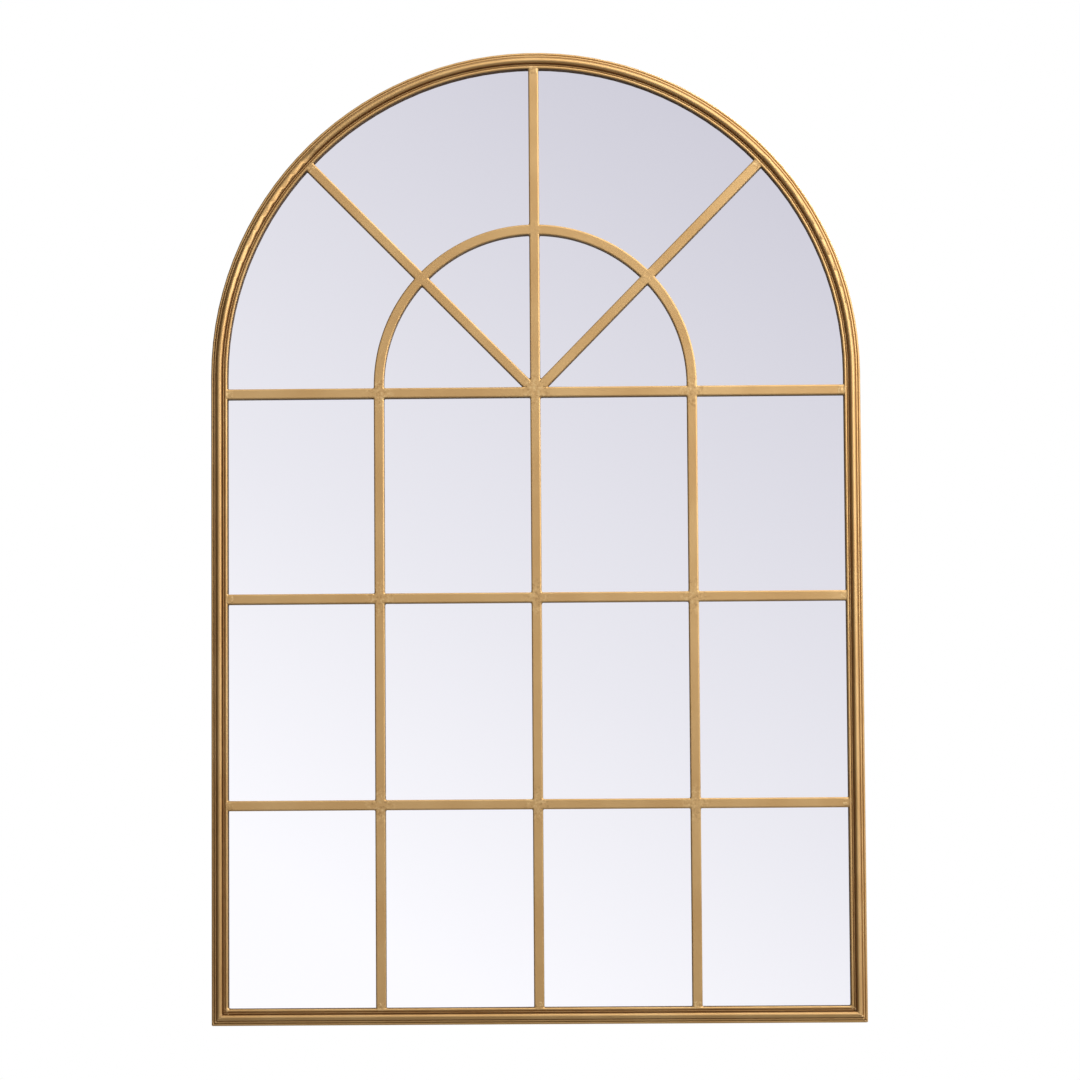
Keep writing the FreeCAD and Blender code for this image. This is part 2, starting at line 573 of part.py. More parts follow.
def hanger_plate(label, loops, free_side):
    body, plate = sheet_piece(label, loops, "rim_lift", "hanger_plate_thickness")
    edge_side = reach(free_side)
    finish_edges(body, label + "_round", plate,
                 lambda edge: all(near(v.Point.x, edge_side) for v in edge.Vertexes)
                 and not near(edge.Vertexes[0].Point.y, edge.Vertexes[-1].Point.y), "hanger_plate_round")


hanger_plate("hanger_plate_right", [plate_edge, keyhole], "plate_inner")
hanger_plate("hanger_plate_left", [mirrored(plate_edge), mirrored(keyhole)], "-plate_inner")

# Check every object, then write one file for each piece
doc.recompute()
for item in doc.Objects:
    if "Invalid" in item.State or "Error" in item.State:
        raise RuntimeError(f"{item.Name} failed: {item.State}")
pieces = [item for item in doc.Objects if item.TypeId == "PartDesign::Body"]
for piece in pieces:
    if piece.Shape.isNull() or not piece.Shape.isValid() or not piece.Shape.Solids:
        raise RuntimeError(f"{piece.Label} has no valid solid")
for piece in pieces:
    piece.Shape.exportStep(f"parts/{piece.Label}.step")
print(len(pieces), "pieces written")
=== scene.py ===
import math
import random

import bmesh
import bpy
from mathutils import Matrix, Vector, noise


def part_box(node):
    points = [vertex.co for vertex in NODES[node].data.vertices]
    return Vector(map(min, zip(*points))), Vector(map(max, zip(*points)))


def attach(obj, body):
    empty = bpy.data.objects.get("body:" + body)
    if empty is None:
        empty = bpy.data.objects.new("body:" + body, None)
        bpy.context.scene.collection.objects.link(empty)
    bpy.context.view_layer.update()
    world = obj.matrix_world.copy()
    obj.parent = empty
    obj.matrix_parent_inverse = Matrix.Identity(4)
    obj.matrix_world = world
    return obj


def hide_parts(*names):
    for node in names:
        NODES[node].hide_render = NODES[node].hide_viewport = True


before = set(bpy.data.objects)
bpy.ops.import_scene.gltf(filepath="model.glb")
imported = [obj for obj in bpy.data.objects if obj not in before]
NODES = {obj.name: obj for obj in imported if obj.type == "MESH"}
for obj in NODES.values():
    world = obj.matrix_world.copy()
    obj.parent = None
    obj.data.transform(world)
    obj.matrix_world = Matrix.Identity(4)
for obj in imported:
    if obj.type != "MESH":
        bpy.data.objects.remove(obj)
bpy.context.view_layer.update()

bl_info = {
    "name": "Arched window mirror",
    "version": (1, 0, 0),
    "blender": (4, 5, 0),
    "location": "View3D > Sidebar > Window mirror",
    "description": "Paints, welds and lights the packed window mirror",
    "category": "Object",
}

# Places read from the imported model, in metres
BAR_LOW, BAR_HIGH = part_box("bar_vertical_centre")
HALF_BAR = BAR_HIGH.x
BAR_FRONT = BAR_LOW.y
BAR_BACK = BAR_HIGH.y
FRAME_LOW, FRAME_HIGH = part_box("frame_hoop")
HALF_WIDTH = FRAME_HIGH.x
SILL_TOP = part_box("frame_sill")[1].z
OPENING_HALF = HALF_WIDTH - SILL_TOP
COLUMN = sum(side.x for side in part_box("bar_vertical_right")) / 2
ROW_HEIGHTS = [
    sum(side.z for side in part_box(name)) / 2 for name in ("bar_lower_1", "bar_upper_1", "bar_spring_1")]
TABS = [name for name in NODES if name.startswith("tab_") and name != "tab_screws"]
COLUMNS = ((-COLUMN, "left"), (0.0, "centre"), (COLUMN, "right"))
HUB_HEIGHT = ROW_HEIGHTS[2]
ARCH_RISE = 0.023
FAN_RISE = 0.009
ARCH_CENTRE = HUB_HEIGHT + ARCH_RISE
FAN_CENTRE = HUB_HEIGHT + FAN_RISE
SLANT = math.radians(45.5)
RIM_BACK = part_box("rim_hoop")[1].y
GLASS_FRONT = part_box("mirror_glass")[0].y

# Moulding section: distance in from the outer edge and Y of each turning line
EDGE_DIP = 0.0034
STEP_DIP = 0.0064
GROOVE_MIDDLE = 0.0141
FINE_DIP = 0.0166
BEAD_RADIUS = 0.0022
BEAD_BASE = -0.0083
INNER_LIP = 0.0203

# Painted shade in the low lines of the moulding: middle, where it starts, where it is full, and its share
SHADE_LINES = (
    (GROOVE_MIDDLE, 0.0010, 0.0003, 1.0), (EDGE_DIP, 0.0008, 0.0001, 0.4), (STEP_DIP, 0.0010, 0.0002, 0.5),
    (FINE_DIP, 0.0006, 0.0001, 0.25))

# Other lines of paint and silver, each from where it starts to where it is full
# Painted shade on the inner flank of the big round, next to the groove
FLANK_RISE = (GROOVE_MIDDLE - 0.0035, GROOVE_MIDDLE - 0.0005)
FLANK_FALL = (GROOVE_MIDDLE + 0.0009, GROOVE_MIDDLE + 0.0004)
# Painted shade on the inner lip of the moulding
LIP_EDGE = (INNER_LIP, INNER_LIP + 0.0006)
MITRE_LINE = (0.0004, 0.0001)
MITRE_END = (SILL_TOP + 0.0004, SILL_TOP - 0.0004)
SPATTER_WIDTH = (0.0034, 0.0012)
SPATTER_END = (SILL_TOP + 0.003, SILL_TOP)
GROUND_REACH = (0.024, 0.010)
GLASS_SKIN = (GLASS_FRONT + 0.0004, GLASS_FRONT + 0.0002)

# Painted shade on the inner sides: where it starts on the bars and on the inner bead, and its fade
BAR_LIP = BAR_FRONT + 0.0006
BEAD_LIP = BEAD_BASE + 0.0004
LIP_FADE = 0.0010

# Screw: height and radius shares of the head, steps of the thread and of the tip
HEAD_SHARES = ((1.0, 0.12), (0.985, 0.45), (0.90, 0.70), (0.68, 0.89), (0.40, 0.98), (0.16, 1.0), (0.0, 0.97))
RINGS_PER_THREAD = 8
TURNED_SIDES = 24
TIP_RINGS = 10
TIP_SHARE = 0.25
UNDER_HEAD = 0.00001
SHARP_ANGLE = math.radians(35)

# Soft square lamps round the mirror: name, place, width in metres, power in watts
LAMP_TARGET = Vector((0, 0, 0.7))
LAMPS = (
    ("lamp_above", (0.75, -1.35, 2.4), 1.9, 20.0),
    ("lamp_right", (1.65, -1.3, 1.15), 1.3, 11.0),
    ("lamp_front_right", (1.3, -2.2, 1.2), 0.9, 6.0),
    ("lamp_above_left", (-0.8, -1.0, 2.0), 0.8, 1.2),
    ("lamp_behind", (1.3, 2.7, 2.4), 1.6, 150.0))

# What the glass and the gold see: a pale field in front, soft patches about it, light walls behind
FRONT_SLOPE = (0.68, 1.04)
FRONT_TONES = (
    (0.0, (1.12, 1.12, 1.12)), (0.42, (1.02, 1.015, 1.05)), (0.53, (0.86, 0.855, 0.91)),
    (0.72, (0.64, 0.63, 0.71)), (1.0, (0.50, 0.49, 0.57)))
PATCHES = (
    ((0.75, -0.6, 0.3), 0.80), ((0, -0.75, 0.7), 0.85), ((0.6, -0.5, 0.7), 0.35),
    ((0, -0.2, 1), 0.35), ((1, -0.15, 0.1), 0.6), ((0.75, 0.12, 0.6), 1.6))
SKIRT = 0.5
BEHIND_TONE = (-0.2, 0.6, 0.12, 1.0)
SURROUNDINGS = (0.06, 0.038, 0.016)
ROOM_LIGHT = (0.15, 0.145, 0.14)

# Edges of those parts, in sines or cosines: where each starts and where it is full
CONE_EDGE = (0.42, 0.24)
SKIRT_EDGE = (0.90, 0.25)
PATCH_EDGE = (0.84, 0.96)
AHEAD = (0.1, -0.2)
BEHIND = (0.02, 0.30)

# Floor: its strength in the metal, its tone to other rays, and where it fades
FLOOR_IN_METAL_SHARE = 0.18
FLOOR_TO_LIGHT_SHARE = 0.35
FLOOR_FADE_SHARES = (0.98, 0.45)

# Gold paint: how metallic it is, and its clear coat
METAL = 0.82
COAT = 0.12

# Noise scales, in cells per metre
CLOUD = 11
PEEL = 620
FLECK = 2600
GRIT = 420
LUMPS = 260
COARSE_LUMPS = 330
FINE_LUMPS = 800
HEAT = 300
HAZE = 4
BOARD_CLOUD = 7
FIBRE = 900
CHIP = 240
FOAM_CELL = 1500
SPANGLE = 260
RUB = 900
PLASTER = 2.5

# Heights that the bumps of the finishes stand for
PEEL_HEIGHT = 0.0002
FIBRE_HEIGHT = 0.0003
CELL_HEIGHT = 0.0002
RUB_HEIGHT = 0.0001

# Fixed colours
GLASS_EDGE = (0.10, 0.22, 0.17)
FOAM_TONES = ((0.025, 0.025, 0.027), (0.06, 0.06, 0.062))
ZINC_TONES = ((0.56, 0.57, 0.58), (0.68, 0.69, 0.70))
WELD_TONES = ((0.30, 0.29, 0.28), (0.16, 0.12, 0.10))

# Inner form of the ground welds
WELD_BACK_INSET = 0.0006
WELD_EDGE_ROUND = 0.0016
WELD_BEAD_DEPTH = 0.003
BEAD_ROUND_SHARE = 0.98
MELT_STEPS = 7
FADE_START_SHARE = 0.25
FAN_FOOT_SHARE = 0.6
HUB_REACH_SHARE = 1.3
RAY_START = FRAME_LOW.y - 0.01


class WeldSizes(bpy.types.PropertyGroup):
    """Sizes of the ground welds, the drops and the weld beads behind"""
    proud: bpy.props.FloatProperty(
        name="Proud", description="How far a ground weld stands over the bars",
        default=0.00016, unit="LENGTH")
    sink: bpy.props.FloatProperty(
        name="Sink", description="How far its feathered end dips into the bar", default=0.0004, unit="LENGTH")
    upright_reach: bpy.props.FloatProperty(
        name="Reach on uprights", description="Length ground along the uprights",
        default=0.021, unit="LENGTH")
    cross_reach: bpy.props.FloatProperty(
        name="Reach on cross bars", description="Length ground along the cross bars",
        default=0.015, unit="LENGTH")
    end_reach: bpy.props.FloatProperty(
        name="Reach at ends", description="Length ground along a bar at the frame",
        default=0.013, unit="LENGTH")
    bead_reach: bpy.props.FloatProperty(
        name="Reach on moulding", description="Length ground along the inner bead",
        default=0.011, unit="LENGTH")
    end_ripple: bpy.props.FloatProperty(
        name="End ripple", description="Height of the lumps of the welds on the moulding",
        default=0.00026, unit="LENGTH")
    ripple: bpy.props.FloatProperty(
        name="Ripple", description="Height of the lumps that grinding left", default=0.00016, unit="LENGTH")
    voxel: bpy.props.FloatProperty(
        name="Voxel", description="Fineness of the weld surface", default=0.0007, unit="LENGTH")
    bead_radius: bpy.props.FloatProperty(
        name="Bead", description="Half width of a drop in a weld bead", default=0.0009, unit="LENGTH")
    drop_radius: bpy.props.FloatProperty(
        name="Drop", description="Half width of the largest drop on a mitre", default=0.0011, unit="LENGTH")
    drop_height: bpy.props.FloatProperty(
        name="Drop height", description="Half height of the largest drop", default=0.0006, unit="LENGTH")
    drop_spread: bpy.props.FloatProperty(
        name="Drop spread", description="How far the drops stray from the mitre",
        default=0.0012, unit="LENGTH")
    drop_count: bpy.props.IntProperty(name="Drops", description="Drops on each mitre", default=20)
    drop_seed: bpy.props.IntProperty(
        name="Drop seed", description="Seed of the places of the drops", default=5)
    band_inner: bpy.props.FloatProperty(
        name="Band inner face", description="From the outer edge to the inner face of the band",
        default=0.0038, unit="LENGTH")
    arch_tab_angle: bpy.props.FloatProperty(
        name="Arch tab angle", description="Where the upper tabs sit on the arch",
        default=math.radians(52), subtype="ANGLE")
    tab_half: bpy.props.FloatProperty(
        name="Half tab", description="Half the width of a tab", default=0.008, unit="LENGTH")
    plate_bead: bpy.props.FloatProperty(
        name="Plate bead", description="Length of the beads at a hanging plate", default=0.008, unit="LENGTH")
    bead_step: bpy.props.FloatProperty(
        name="Step", description="Distance from drop to drop", default=0.0008, unit="LENGTH")


class ScrewSizes(bpy.types.PropertyGroup):
    """Sizes of the screws that hold the tabs"""
    tab_thickness: bpy.props.FloatProperty(
        name="Tab thickness", description="Thickness of the tab under the head",
        default=0.0015, unit="LENGTH")
    head_radius: bpy.props.FloatProperty(
        name="Head radius", description="Half width of the head", default=0.0034, unit="LENGTH")
    shank_radius: bpy.props.FloatProperty(
        name="Shank radius", description="Half width of the thread", default=0.0016, unit="LENGTH")
    thread_height: bpy.props.FloatProperty(
        name="Thread height", description="Height of the thread over the core", default=0.0004, unit="LENGTH")
    thread_pitch: bpy.props.FloatProperty(
        name="Thread pitch", description="Distance from thread to thread", default=0.0013, unit="LENGTH")
    hole_inset: bpy.props.FloatProperty(
        name="Hole inset", description="From the band to the middle of a screw", default=0.012, unit="LENGTH")
    arch_hole_radius: bpy.props.FloatProperty(
        name="Arch screw radius", description="From the arch centre to its screws",
        default=0.39162, unit="LENGTH")
    recess_width: bpy.props.FloatProperty(
        name="Recess width", description="Width of one arm of the cross recess",
        default=0.0009, unit="LENGTH")
    recess_length: bpy.props.FloatProperty(
        name="Recess length", description="Length across the cross recess", default=0.0038, unit="LENGTH")
    recess_depth: bpy.props.FloatProperty(
        name="Recess depth", description="Depth of the cross recess", default=0.0012, unit="LENGTH")


class Finish(bpy.types.PropertyGroup):
    """Colours of the paint, glass, board and floor, and the softness of edges"""
    gold: bpy.props.FloatVectorProperty(
        name="Gold", description="Body colour of the gold paint", subtype="COLOR",
        default=(0.65, 0.397, 0.155))
    # Deep gold: random dark flecks and mottling, and also painted shade in the grooves and dips of the
    # moulding
    gold_deep: bpy.props.FloatVectorProperty(
        name="Deep gold", description="Paint in the grooves", subtype="COLOR", default=(0.20, 0.080, 0.018))
    # Painted shade on the inner lip of the moulding and on the sides of the bars
    gold_shadow: bpy.props.FloatVectorProperty(
        name="Shadow gold", description="Thin paint on the inner sides", subtype="COLOR",
        default=(0.085, 0.036, 0.009))
    # Pale gold: random pale tone, and a painted highlight on the wholly ground welds at the bar ends
    gold_pale: bpy.props.FloatVectorProperty(
        name="Pale gold", description="Paint where it lies thin on the crests", subtype="COLOR",
        default=(0.88, 0.62, 0.29))
    # Painted highlight: pale paint that makes the drops and the spatter at the mitres show as bright specks
    gold_drop: bpy.props.FloatVectorProperty(
        name="Drop gold", description="Paint on the drops and the spatter at the mitres", subtype="COLOR",
        default=(0.95, 0.66, 0.33))
    edge_softness: bpy.props.FloatProperty(
        name="Edge softness", description="How wide the paint rounds the edges of the bars",
        default=0.0018, unit="LENGTH")
    silver: bpy.props.FloatVectorProperty(
        name="Silver", description="Colour that the mirror gives back", subtype="COLOR",
        default=(0.955, 0.955, 0.965))
    board: bpy.props.FloatVectorProperty(
        name="Board", description="Fibre board", subtype="COLOR", default=(0.36, 0.225, 0.125))
    floor_glow: bpy.props.FloatVectorProperty(
        name="Floor glow", description="Even light on the floor, which metal sees faintly", subtype="COLOR",
        default=(0.27, 0.27, 0.275))
    floor: bpy.props.FloatVectorProperty(
        name="Floor", description="Studio floor", subtype="COLOR", default=(0.85, 0.85, 0.85))


class StudioSizes(bpy.types.PropertyGroup):
    """Camera and lamp settings"""
    lens: bpy.props.FloatProperty(
        name="Lens", description="Focal length on a 36 mm sensor", default=126.23, unit="CAMERA")
    distance: bpy.props.FloatProperty(
        name="Distance", description="From the camera to its target", default=4.747, unit="LENGTH")
    azimuth: bpy.props.FloatProperty(
        name="Azimuth", description="Camera to the right of the middle",
        default=math.radians(0.925), subtype="ANGLE")
    elevation: bpy.props.FloatProperty(
        name="Elevation", description="Camera above the target", default=math.radians(-3.79), subtype="ANGLE")
    roll: bpy.props.FloatProperty(
        name="Roll", description="Turn of the picture", default=math.radians(-0.38), subtype="ANGLE")
    target: bpy.props.FloatVectorProperty(
        name="Target", description="Point in the middle of the picture",
        default=(0.0046, 0, 0.6029), unit="LENGTH")
    floor_radius: bpy.props.FloatProperty(
        name="Floor radius", description="Where the floor has faded into the background",
        default=9.0, unit="LENGTH")
    floor_drop: bpy.props.FloatProperty(
        name="Floor drop", description="Height of the hung mirror over the floor", default=0.9, unit="LENGTH")


class Number:
    """A shader socket; plain sums on it add Math nodes"""

    def __init__(self, recipe, socket):
        self.recipe = recipe
        self.socket = socket

    def _sum(self, operation, *values):
        return self.recipe.node("ShaderNodeMath", {"operation": operation}, values)

    def __add__(self, other):
        return self._sum("ADD", self, other)

    def __radd__(self, other):
        return self._sum("ADD", other, self)

    def __sub__(self, other):
        return self._sum("SUBTRACT", self, other)

    def __rsub__(self, other):
        return self._sum("SUBTRACT", other, self)

    def __mul__(self, other):
        return self._sum("MULTIPLY", self, other)

    def __pow__(self, other):
        return self._sum("POWER", self, other)

    def __abs__(self):
        return self._sum("ABSOLUTE", self)

    def least(self, other):
        return self._sum("MINIMUM", self, other)

    def most(self, other):
        return self._sum("MAXIMUM", self, other)

    def ramp(self, start, end, low=0.0, high=1.0):
        return self.recipe.node(
            "ShaderNodeMapRange", {"interpolation_type": "SMOOTHSTEP"}, (self, start, end, low, high))


class Recipe:
    """The node tree of one finish"""

    def __init__(self, tree):
        self.tree = tree
        tree.nodes.clear()

    def node(self, kind, settings=None, values=(), out=0):
        made = self.tree.nodes.new(kind)
        for setting, choice in (settings or {}).items():
            if setting == "stops":
                elements = made.color_ramp.elements
                while len(elements) < len(choice):
                    elements.new(0.5)
                for element, (place, colour) in zip(elements, choice):
                    element.position = place
                    element.color = (*colour, 1)
            else:
                setattr(made, setting, choice)
        for key, value in (values.items() if isinstance(values, dict) else enumerate(values)):
            self.feed(made.inputs[key], value)
        return Number(self, made.outputs[out]) if len(made.outputs) else made

    def feed(self, socket, value):
        if isinstance(value, Number):
            self.tree.links.new(value.socket, socket)
        elif socket.type == "RGBA" and len(value) == 3:
            socket.default_value = (*value, 1)
        else:
            socket.default_value = value

    def split(self, value, kind="ShaderNodeSeparateXYZ"):
        parts = self.tree.nodes.new(kind)
        self.feed(parts.inputs[0], value)
        return [Number(self, output) for output in parts.outputs]

    def noise(self, vector, scale, detail=2.0, roughness=0.5, distortion=0.0):
        return self.node("ShaderNodeTexNoise", {}, {
            "Vector": vector, "Scale": scale, "Detail": detail, "Roughness": roughness,
            "Distortion": distortion})

    def stretched(self, vector, scale):
        return self.node("ShaderNodeMapping", {}, {"Vector": vector, "Scale": scale})

    def blend(self, first, second, factor):
        return self.node("ShaderNodeMix", {"data_type": "RGBA"}, {0: factor, 6: first, 7: second}, out=2)

    def bump(self, height, strength, distance, normal=None):
        values = {"Height": height, "Strength": strength, "Distance": distance}
        if normal is not None:
            values["Normal"] = normal
        return self.node("ShaderNodeBump", {}, values)

    def length(self, *parts):
        total = parts[0] * parts[0]
        for part in parts[1:]:
            total = total + part * part
        return total ** 0.5


def new_finish(name):
    """A material, its recipe, and its object coordinates as a vector and as three numbers"""
    material = bpy.data.materials.new(name)
    material.use_nodes = True
    mix = Recipe(material.node_tree)
    vector = mix.node("ShaderNodeTexCoord", out="Object")
    return material, mix, vector, mix.split(vector)


def close_finish(recipe, values):
    shader = recipe.node("ShaderNodeBsdfPrincipled", {}, values)
    recipe.node("ShaderNodeOutputMaterial", {}, {"Surface": shader})


def gold_paint(name, moulded="", lip_from=BAR_LIP, all_ground_and_sheen=False, base="gold"):
    """Satin gold paint with painted shade in the grooves and dips of the moulding, on its inner flank and on
    the inner sides; mottled where welds were ground, and mostly pale as painted highlight where a whole weld
    is ground
    """
    finish = bpy.context.scene.mirror_finish
    material, mix, vector, (x, y, z) = new_finish(name)
    cloud = mix.noise(vector, CLOUD, 3, 0.55)
    peel = mix.noise(vector, PEEL, 3, 0.6)
    fleck = mix.noise(vector, FLECK, 2, 0.6)
    colour = mix.blend(getattr(finish, base), finish.gold_pale, cloud.ramp(0.35, 0.75) * 0.35)
    colour = mix.blend(colour, finish.gold_deep, fleck.ramp(0.42, 0.30) * 0.16)
    if moulded:
        above = (z - ARCH_CENTRE).most(0)
        inward = HALF_WIDTH - mix.length(x, above)
        corner = inward.least(z) if moulded == "sill" else inward
        # Painted shade on the inner flank of the round
        flank = corner.ramp(*FLANK_RISE) * corner.ramp(*FLANK_FALL)
        lip = corner.ramp(*LIP_EDGE)
        mitre = abs(inward - z).ramp(*MITRE_LINE) * z.ramp(*MITRE_END)
        spatter = abs(inward - z).ramp(*SPATTER_WIDTH) * z.ramp(*SPATTER_END)
        grit = mix.noise(vector, GRIT, 3, 0.6, 0.3)
        # Spatter at the mitres: pale specks as painted highlight, and dark specks
        colour = mix.blend(colour, finish.gold_drop, spatter * grit.ramp(0.50, 0.60) * 0.9)
        colour = mix.blend(colour, finish.gold_deep, spatter * grit.ramp(0.46, 0.36) * 0.7)
        peel = peel + spatter * grit * 2.5
        # Painted shade in the dips, the groove and on the inner flank, plus the dark line of the mitre joint
        shade_and_mitre = (flank * 0.4).most(mitre * 0.6)
        for middle, start, end, share in SHADE_LINES:
            shade_and_mitre = shade_and_mitre.most(abs(corner - middle).ramp(start, end) * share)
        colour = mix.blend(colour, finish.gold_deep, shade_and_mitre * 0.85)
        # Painted shade on the inner lip
        colour = mix.blend(colour, finish.gold_shadow, lip * 0.95)
    else:
        # Painted shade on the sides of the bars behind their front
        lip = y.ramp(lip_from, lip_from + LIP_FADE)
        colour = mix.blend(colour, finish.gold_shadow, lip * 0.85)
        side = abs(x)
        near_column = side.least(abs(side - COLUMN))
        near_row = abs(z - ROW_HEIGHTS[0]).least(abs(z - ROW_HEIGHTS[1])).least(abs(z - ROW_HEIGHTS[2]))
        ground = 1.0 if all_ground_and_sheen else mix.length(near_column, near_row * 0.8).ramp(*GROUND_REACH)
        lumps = mix.noise(vector, LUMPS, 3, 0.6, 0.4)
        # Pale mottling of the ground welds; where a whole weld is ground it is mostly pale, as painted
        # highlight
        pale_and_highlight_share = 0.95 if all_ground_and_sheen else 0.6
        colour = mix.blend(colour, finish.gold_pale, lumps.ramp(0.50, 0.66) * ground * pale_and_highlight_share)
        colour = mix.blend(colour, finish.gold_deep, lumps.ramp(0.46, 0.32) * ground * 0.35)
    roughness = (0.42 if moulded else 0.36) + (peel - 0.5) * 0.14 + (cloud - 0.5) * 0.12
    soft = None if moulded else mix.node("ShaderNodeBevel", {"samples": 6}, {"Radius": finish.edge_softness})
    normal = mix.bump(peel, 0.25, PEEL_HEIGHT, soft)
    close_finish(mix, {
        "Base Color": colour, "Metallic": METAL - lip * 0.6, "Roughness": roughness + lip * 0.25,
        "Normal": normal, "Coat Weight": COAT - lip * COAT, "Coat Roughness": 0.22})
    return material


def dress(nodes, material):
    for name in nodes:
        mesh = NODES[name].data
        for index in range(len(mesh.materials)):
            mesh.materials[index] = material


def new_mesh(name, shape):
    """Turns a finished bmesh into a mesh"""
    mesh = bpy.data.meshes.new(name)
    shape.to_mesh(mesh)
    shape.free()
    return mesh


def new_object(name, data):
    made = bpy.data.objects.new(name, data)
    bpy.context.scene.collection.objects.link(made)
    return made


def plain_mesh(holder, name):
    """The evaluated mesh of an object, with its modifiers worked in"""
    graph = bpy.context.evaluated_depsgraph_get()
    graph.update()
    mesh = bpy.data.meshes.new_from_object(holder.evaluated_get(graph), depsgraph=graph)
    mesh.name = name
    return mesh


def add_swept(shape, points, half, front, back, round_by):
    """Adds a closed bar of rounded section that follows points in the XZ plane"""
    corners = []
    middle = (front + back) / 2
    for quarter in range(4):
        side = half if quarter in (0, 3) else -half
        depth = back if quarter < 2 else front
        centre = Vector((
            side - math.copysign(round_by, side), depth - math.copysign(round_by, depth - middle)))
        for step in range(4):
            turn = math.radians(quarter * 90 + step * 30)
            corners.append(centre + Vector((math.cos(turn), math.sin(turn))) * round_by)
    rings = []
    for index, point in enumerate(points):
        before = points[max(index - 1, 0)]
        after = points[min(index + 1, len(points) - 1)]
        along = (after - before).normalized()
        across = Vector((along.y, -along.x))
        rings.append([
            shape.verts.new((point.x + across.x * corner.x, corner.y, point.y + across.y * corner.x))
            for corner in corners])
    count = len(corners)
    for first, second in zip(rings, rings[1:]):
        for k in range(count):
            shape.faces.new((first[k], first[(k + 1) % count], second[(k + 1) % count], second[k]))
    shape.faces.new(rings[0][::-1])
    shape.faces.new(rings[-1])


def straight(start, heading, length, steps=2):
    return [start + heading * (length * k / (steps - 1)) for k in range(steps)]


def arms_from(centre, ways):
    return [(straight(centre, way, reach), reach) for way, reach in ways]


def fan_arc(angle, sweep, radius, centre, steps=9):
    turns = [angle + sweep * k / (steps - 1) for k in range(steps)]
    return [Vector((0, centre)) + Vector((math.cos(turn), math.sin(turn))) * radius for turn in turns]


def ring_meets(way, centre, radius):
    """Where a line from the hub meets a ring about a point above or below the hub"""
    rise = centre - HUB_HEIGHT
    return Vector((0, HUB_HEIGHT)) + way * (rise * way.y + math.sqrt(radius ** 2 - (rise * way.x) ** 2))


def ground_weld(name, centre, arms, beads, seed, material, ripple=None):
    """One ground weld: short bars melted together, feathered into the metal at their ends"""
    sizes = bpy.context.scene.weld_sizes
    ripple = ripple or sizes.ripple
    shape = bmesh.new()
    for path, _ in arms:
        add_swept(
            shape, path, HALF_BAR + sizes.proud, BAR_FRONT - sizes.proud, BAR_BACK - WELD_BACK_INSET,
            WELD_EDGE_ROUND)
    for path, _ in beads:
        add_swept(
            shape, path, BEAD_RADIUS, BEAD_BASE - BEAD_RADIUS - sizes.proud, BEAD_BASE + WELD_BEAD_DEPTH,
            BEAD_RADIUS * BEAD_ROUND_SHARE)
    bmesh.ops.recalc_face_normals(shape, faces=shape.faces)
    holder = new_object(name + "_melt", new_mesh(name, shape))
    melt = holder.modifiers.new("Melt", "REMESH")
    melt.mode = "VOXEL"
    melt.voxel_size = sizes.voxel
    soften = holder.modifiers.new("Soften", "SMOOTH")
    soften.iterations = MELT_STEPS
    mesh = plain_mesh(holder, name)
    bpy.data.objects.remove(holder)
    shape = bmesh.new()
    shape.from_mesh(mesh)
    bpy.data.meshes.remove(mesh)
    shape.normal_update()
    shift = Vector((seed * 3.1, seed * 1.7, seed * 2.3))
    ways = [((path[-1] - centre).normalized(), reach) for path, reach in arms]
    for path, reach in beads:
        along = (path[-1] - path[0]).normalized()
        ways += [(along, reach), (-along, reach)]
    moves = []
    for vert in shape.verts:
        flat = Vector((vert.co.x, vert.co.z)) - centre
        far = max(flat.dot(heading) / reach for heading, reach in ways)
        lump = noise.noise(vert.co * COARSE_LUMPS + shift) + 0.5 * noise.noise(vert.co * FINE_LUMPS + shift)
        fade = min(1.0, max(0.0, (far - FADE_START_SHARE) / (1 - FADE_START_SHARE) + 0.12 * lump))
        fade = fade * fade * (3 - 2 * fade)
        lift = ripple * lump * (1 - fade) - (sizes.sink + sizes.proud) * fade
        moves.append(vert.normal * lift)
    for vert, move in zip(shape.verts, moves):
        vert.co += move
    mesh = new_mesh(name, shape)
    for polygon in mesh.polygons:
        polygon.use_smooth = True
    mesh.materials.append(material)
    piece = new_object(name, mesh)
    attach(piece, "root")


def end_weld(name, edge, inward, bead, seed, material):
    """Welds the end of a bar on to the inner bead of the moulding"""
    sizes = bpy.context.scene.weld_sizes
    arm = straight(edge - inward * BEAD_RADIUS, inward, BEAD_RADIUS + sizes.end_reach, 3)
    ground_weld(
        name, edge, [(arm, sizes.end_reach)], [(bead, sizes.bead_reach)], seed, material, sizes.end_ripple)


